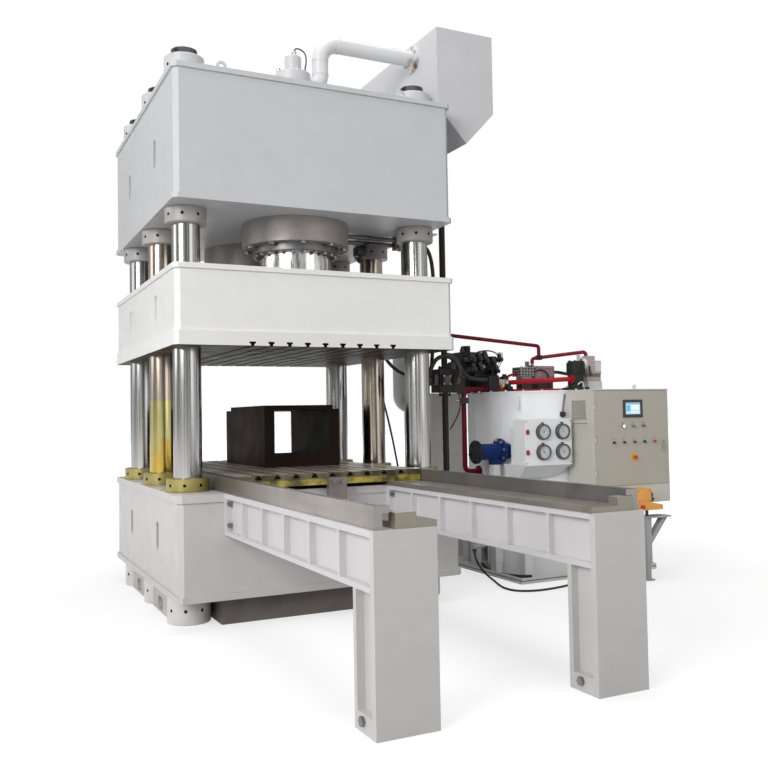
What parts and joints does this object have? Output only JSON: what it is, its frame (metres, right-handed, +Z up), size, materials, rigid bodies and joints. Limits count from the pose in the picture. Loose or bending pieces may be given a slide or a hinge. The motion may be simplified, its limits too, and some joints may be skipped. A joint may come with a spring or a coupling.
{
  "type": "hydraulic press",
  "caption": "Six-column hydraulic press with twin main cylinders, a table that runs out in front on two arms, a power unit, a control cabinet and a console.",
  "frame": {"origin": "centre of the six columns' pattern on the floor, under the plinth", "axes": "+X to the right along the front, where the power unit stands; +Y to the back; +Z up"},
  "size_m": [4.798, 5.2559, 5],
  "materials": {
    "base_paint": "satin",
    "dark_frame": "satin",
    "chromed_column": "polished",
    "machined_nut": "satin",
    "grey_nut": "satin",
    "yellow_zinc": "satin",
    "crown_paint": "satin",
    "slide_paint": "satin",
    "cylinder_steel": "satin",
    "gland_steel": "satin",
    "steel_bolt": "satin",
    "valve_steel": "satin",
    "tank_paint": "satin",
    "drain_paint": "satin",
    "leg_paint": "satin",
    "rail_steel": "satin",
    "tray_paint": "satin",
    "oil_tank_paint": "satin",
    "panel_paint": "satin",
    "filter_blue": "satin",
    "black_valve": "satin",
    "motor_paint": "satin",
    "red_pipe": "satin",
    "accumulator_paint": "satin",
    "cabinet_paint": "satin",
    "stand_paint": "satin",
    "orange_paint": "satin",
    "cable_rubber": "matte",
    "chromed_ram": "polished",
    "table_steel": "satin",
    "brown_box": "satin",
    "black_plastic": "matte",
    "red_plastic": "gloss",
    "needle_black": "matte"
  },
  "bodies": {
    "press_frame": {"base": "base_paint", "base_plinth": "dark_frame", "columns": "chromed_column", "column_top_nuts": "crown_paint", "upper_column_nuts": "crown_paint", "lower_column_nuts": "yellow_zinc", "foot_nuts": "grey_nut", "crown": "crown_paint", "lifting_eyes": "machined_nut", "front_main_cylinder": "cylinder_steel", "rear_main_cylinder": "cylinder_steel", "gland_rings": "gland_steel", "hex_bolts": "steel_bolt", "prefill_valves": "valve_steel", "prefill_tank": "tank_paint", "suction_pipes": "tank_paint", "drain_pipe": "drain_paint", "left_arm": "crown_paint", "right_arm": "crown_paint", "arm_legs": "leg_paint", "guide_bars": "rail_steel", "table_tracks": "rail_steel", "drip_tray": "tray_paint", "oil_tank": "oil_tank_paint", "gauge_panel": "oil_tank_paint", "oil_filter": "filter_blue", "valve_stand": "panel_paint", "valve_manifold": "black_valve", "pump_motor": "motor_paint", "main_pump": "black_valve", "pilot_unit": "panel_paint", "unit_pipes": "red_pipe", "accumulator": "accumulator_paint", "cabinet": "cabinet_paint", "console_stand": "stand_paint", "console_box": "orange_paint", "floor_cable": "cable_rubber"},
    "slide": {"slide": "slide_paint", "slide_t_slot_plate": "slide_paint", "main_rams": "chromed_ram"},
    "table": {"moving_table": "table_steel", "table_bracket": "table_steel", "raising_box": "brown_box"},
    "cabinet_door": {"cabinet_door": "cabinet_paint", "touch_panel": "black_plastic"},
    "door_handle": {"door_handle": "black_plastic"},
    "power_selector": {"power_selector": "black_plastic"},
    "mode_selector": {"mode_selector": "black_plastic"},
    "slide_selector": {"slide_selector": "black_plastic"},
    "table_selector": {"table_selector": "black_plastic"},
    "red_button": {"red_button": "red_plastic"},
    "cabinet_emergency_stop": {"cabinet_emergency_stop": "red_plastic"},
    "left_palm_button": {"left_palm_button": "black_plastic"},
    "right_palm_button": {"right_palm_button": "black_plastic"},
    "console_emergency_stop": {"console_emergency_stop": "red_plastic"},
    "low_left_needle": {"low_left_needle": "needle_black"},
    "low_right_needle": {"low_right_needle": "needle_black"},
    "high_left_needle": {"high_left_needle": "needle_black"},
    "high_right_needle": {"high_right_needle": "needle_black"},
    "hand_wheel": {"hand_wheel": "black_plastic"}
  },
  "joints": [
    {"name": "slide_travel", "type": "slide", "parent": "press_frame", "child": "slide", "axis": [0, 0, 1], "range_m": [-0.4, 0.15]},
    {"name": "table_travel", "type": "slide", "parent": "press_frame", "child": "table", "axis": [0, -1, 0], "range_m": [0, 2.4]},
    {"name": "door_hinge", "type": "hinge", "parent": "press_frame", "child": "cabinet_door", "pos_m": [2.6535, -1.3075, 1.3], "axis": [0, 0, -1], "range_deg": [0, 110]},
    {"name": "door_handle_turn", "type": "hinge", "parent": "cabinet_door", "child": "door_handle", "pos_m": [3.468, -1.31, 1.27], "axis": [0, -1, 0], "range_deg": [0, 90]},
    {"name": "power_selector_turn", "type": "hinge", "parent": "cabinet_door", "child": "power_selector", "pos_m": [2.87, -1.31, 1.271], "axis": [0, 1, 0], "range_deg": [-45, 45]},
    {"name": "mode_selector_turn", "type": "hinge", "parent": "cabinet_door", "child": "mode_selector", "pos_m": [2.99375, -1.31, 1.271], "axis": [0, 1, 0], "range_deg": [-45, 45]},
    {"name": "slide_selector_turn", "type": "hinge", "parent": "cabinet_door", "child": "slide_selector", "pos_m": [3.1175, -1.31, 1.271], "axis": [0, 1, 0], "range_deg": [-45, 45]},
    {"name": "table_selector_turn", "type": "hinge", "parent": "cabinet_door", "child": "table_selector", "pos_m": [3.24125, -1.31, 1.271], "axis": [0, 1, 0], "range_deg": [-45, 45]},
    {"name": "red_button_push", "type": "slide", "parent": "cabinet_door", "child": "red_button", "axis": [0, 1, 0], "range_m": [0, 0.005], "stiffness_N_per_m": 600},
    {"name": "cabinet_emergency_stop_push", "type": "slide", "parent": "cabinet_door", "child": "cabinet_emergency_stop", "axis": [0, 1, 0], "range_m": [0, 0.006]},
    {"name": "left_palm_button_push", "type": "slide", "parent": "press_frame", "child": "left_palm_button", "axis": [1, 0, 0], "range_m": [0, 0.006], "stiffness_N_per_m": 900},
    {"name": "right_palm_button_push", "type": "slide", "parent": "press_frame", "child": "right_palm_button", "axis": [-1, 0, 0], "range_m": [0, 0.006], "stiffness_N_per_m": 900},
    {"name": "console_emergency_stop_push", "type": "slide", "parent": "press_frame", "child": "console_emergency_stop", "axis": [0, 1, 0], "range_m": [0, 0.006]},
    {"name": "low_left_needle_swing", "type": "hinge", "parent": "press_frame", "child": "low_left_needle", "pos_m": [2.249, -1.08, 1.196], "axis": [0, 1, 0], "range_deg": [-100, 170]},
    {"name": "low_right_needle_swing", "type": "hinge", "parent": "press_frame", "child": "low_right_needle", "pos_m": [2.469, -1.08, 1.196], "axis": [0, 1, 0], "range_deg": [-115, 155]},
    {"name": "high_left_needle_swing", "type": "hinge", "parent": "press_frame", "child": "high_left_needle", "pos_m": [2.249, -1.08, 1.384], "axis": [0, 1, 0], "range_deg": [-175, 95]},
    {"name": "high_right_needle_swing", "type": "hinge", "parent": "press_frame", "child": "high_right_needle", "pos_m": [2.469, -1.08, 1.384], "axis": [0, 1, 0], "range_deg": [-95, 175]},
    {"name": "hand_wheel_turn", "type": "hinge", "parent": "press_frame", "child": "hand_wheel", "pos_m": [2.037, 1.08, 1.195], "axis": [0, 1, 0], "continuous": true}
  ]
}
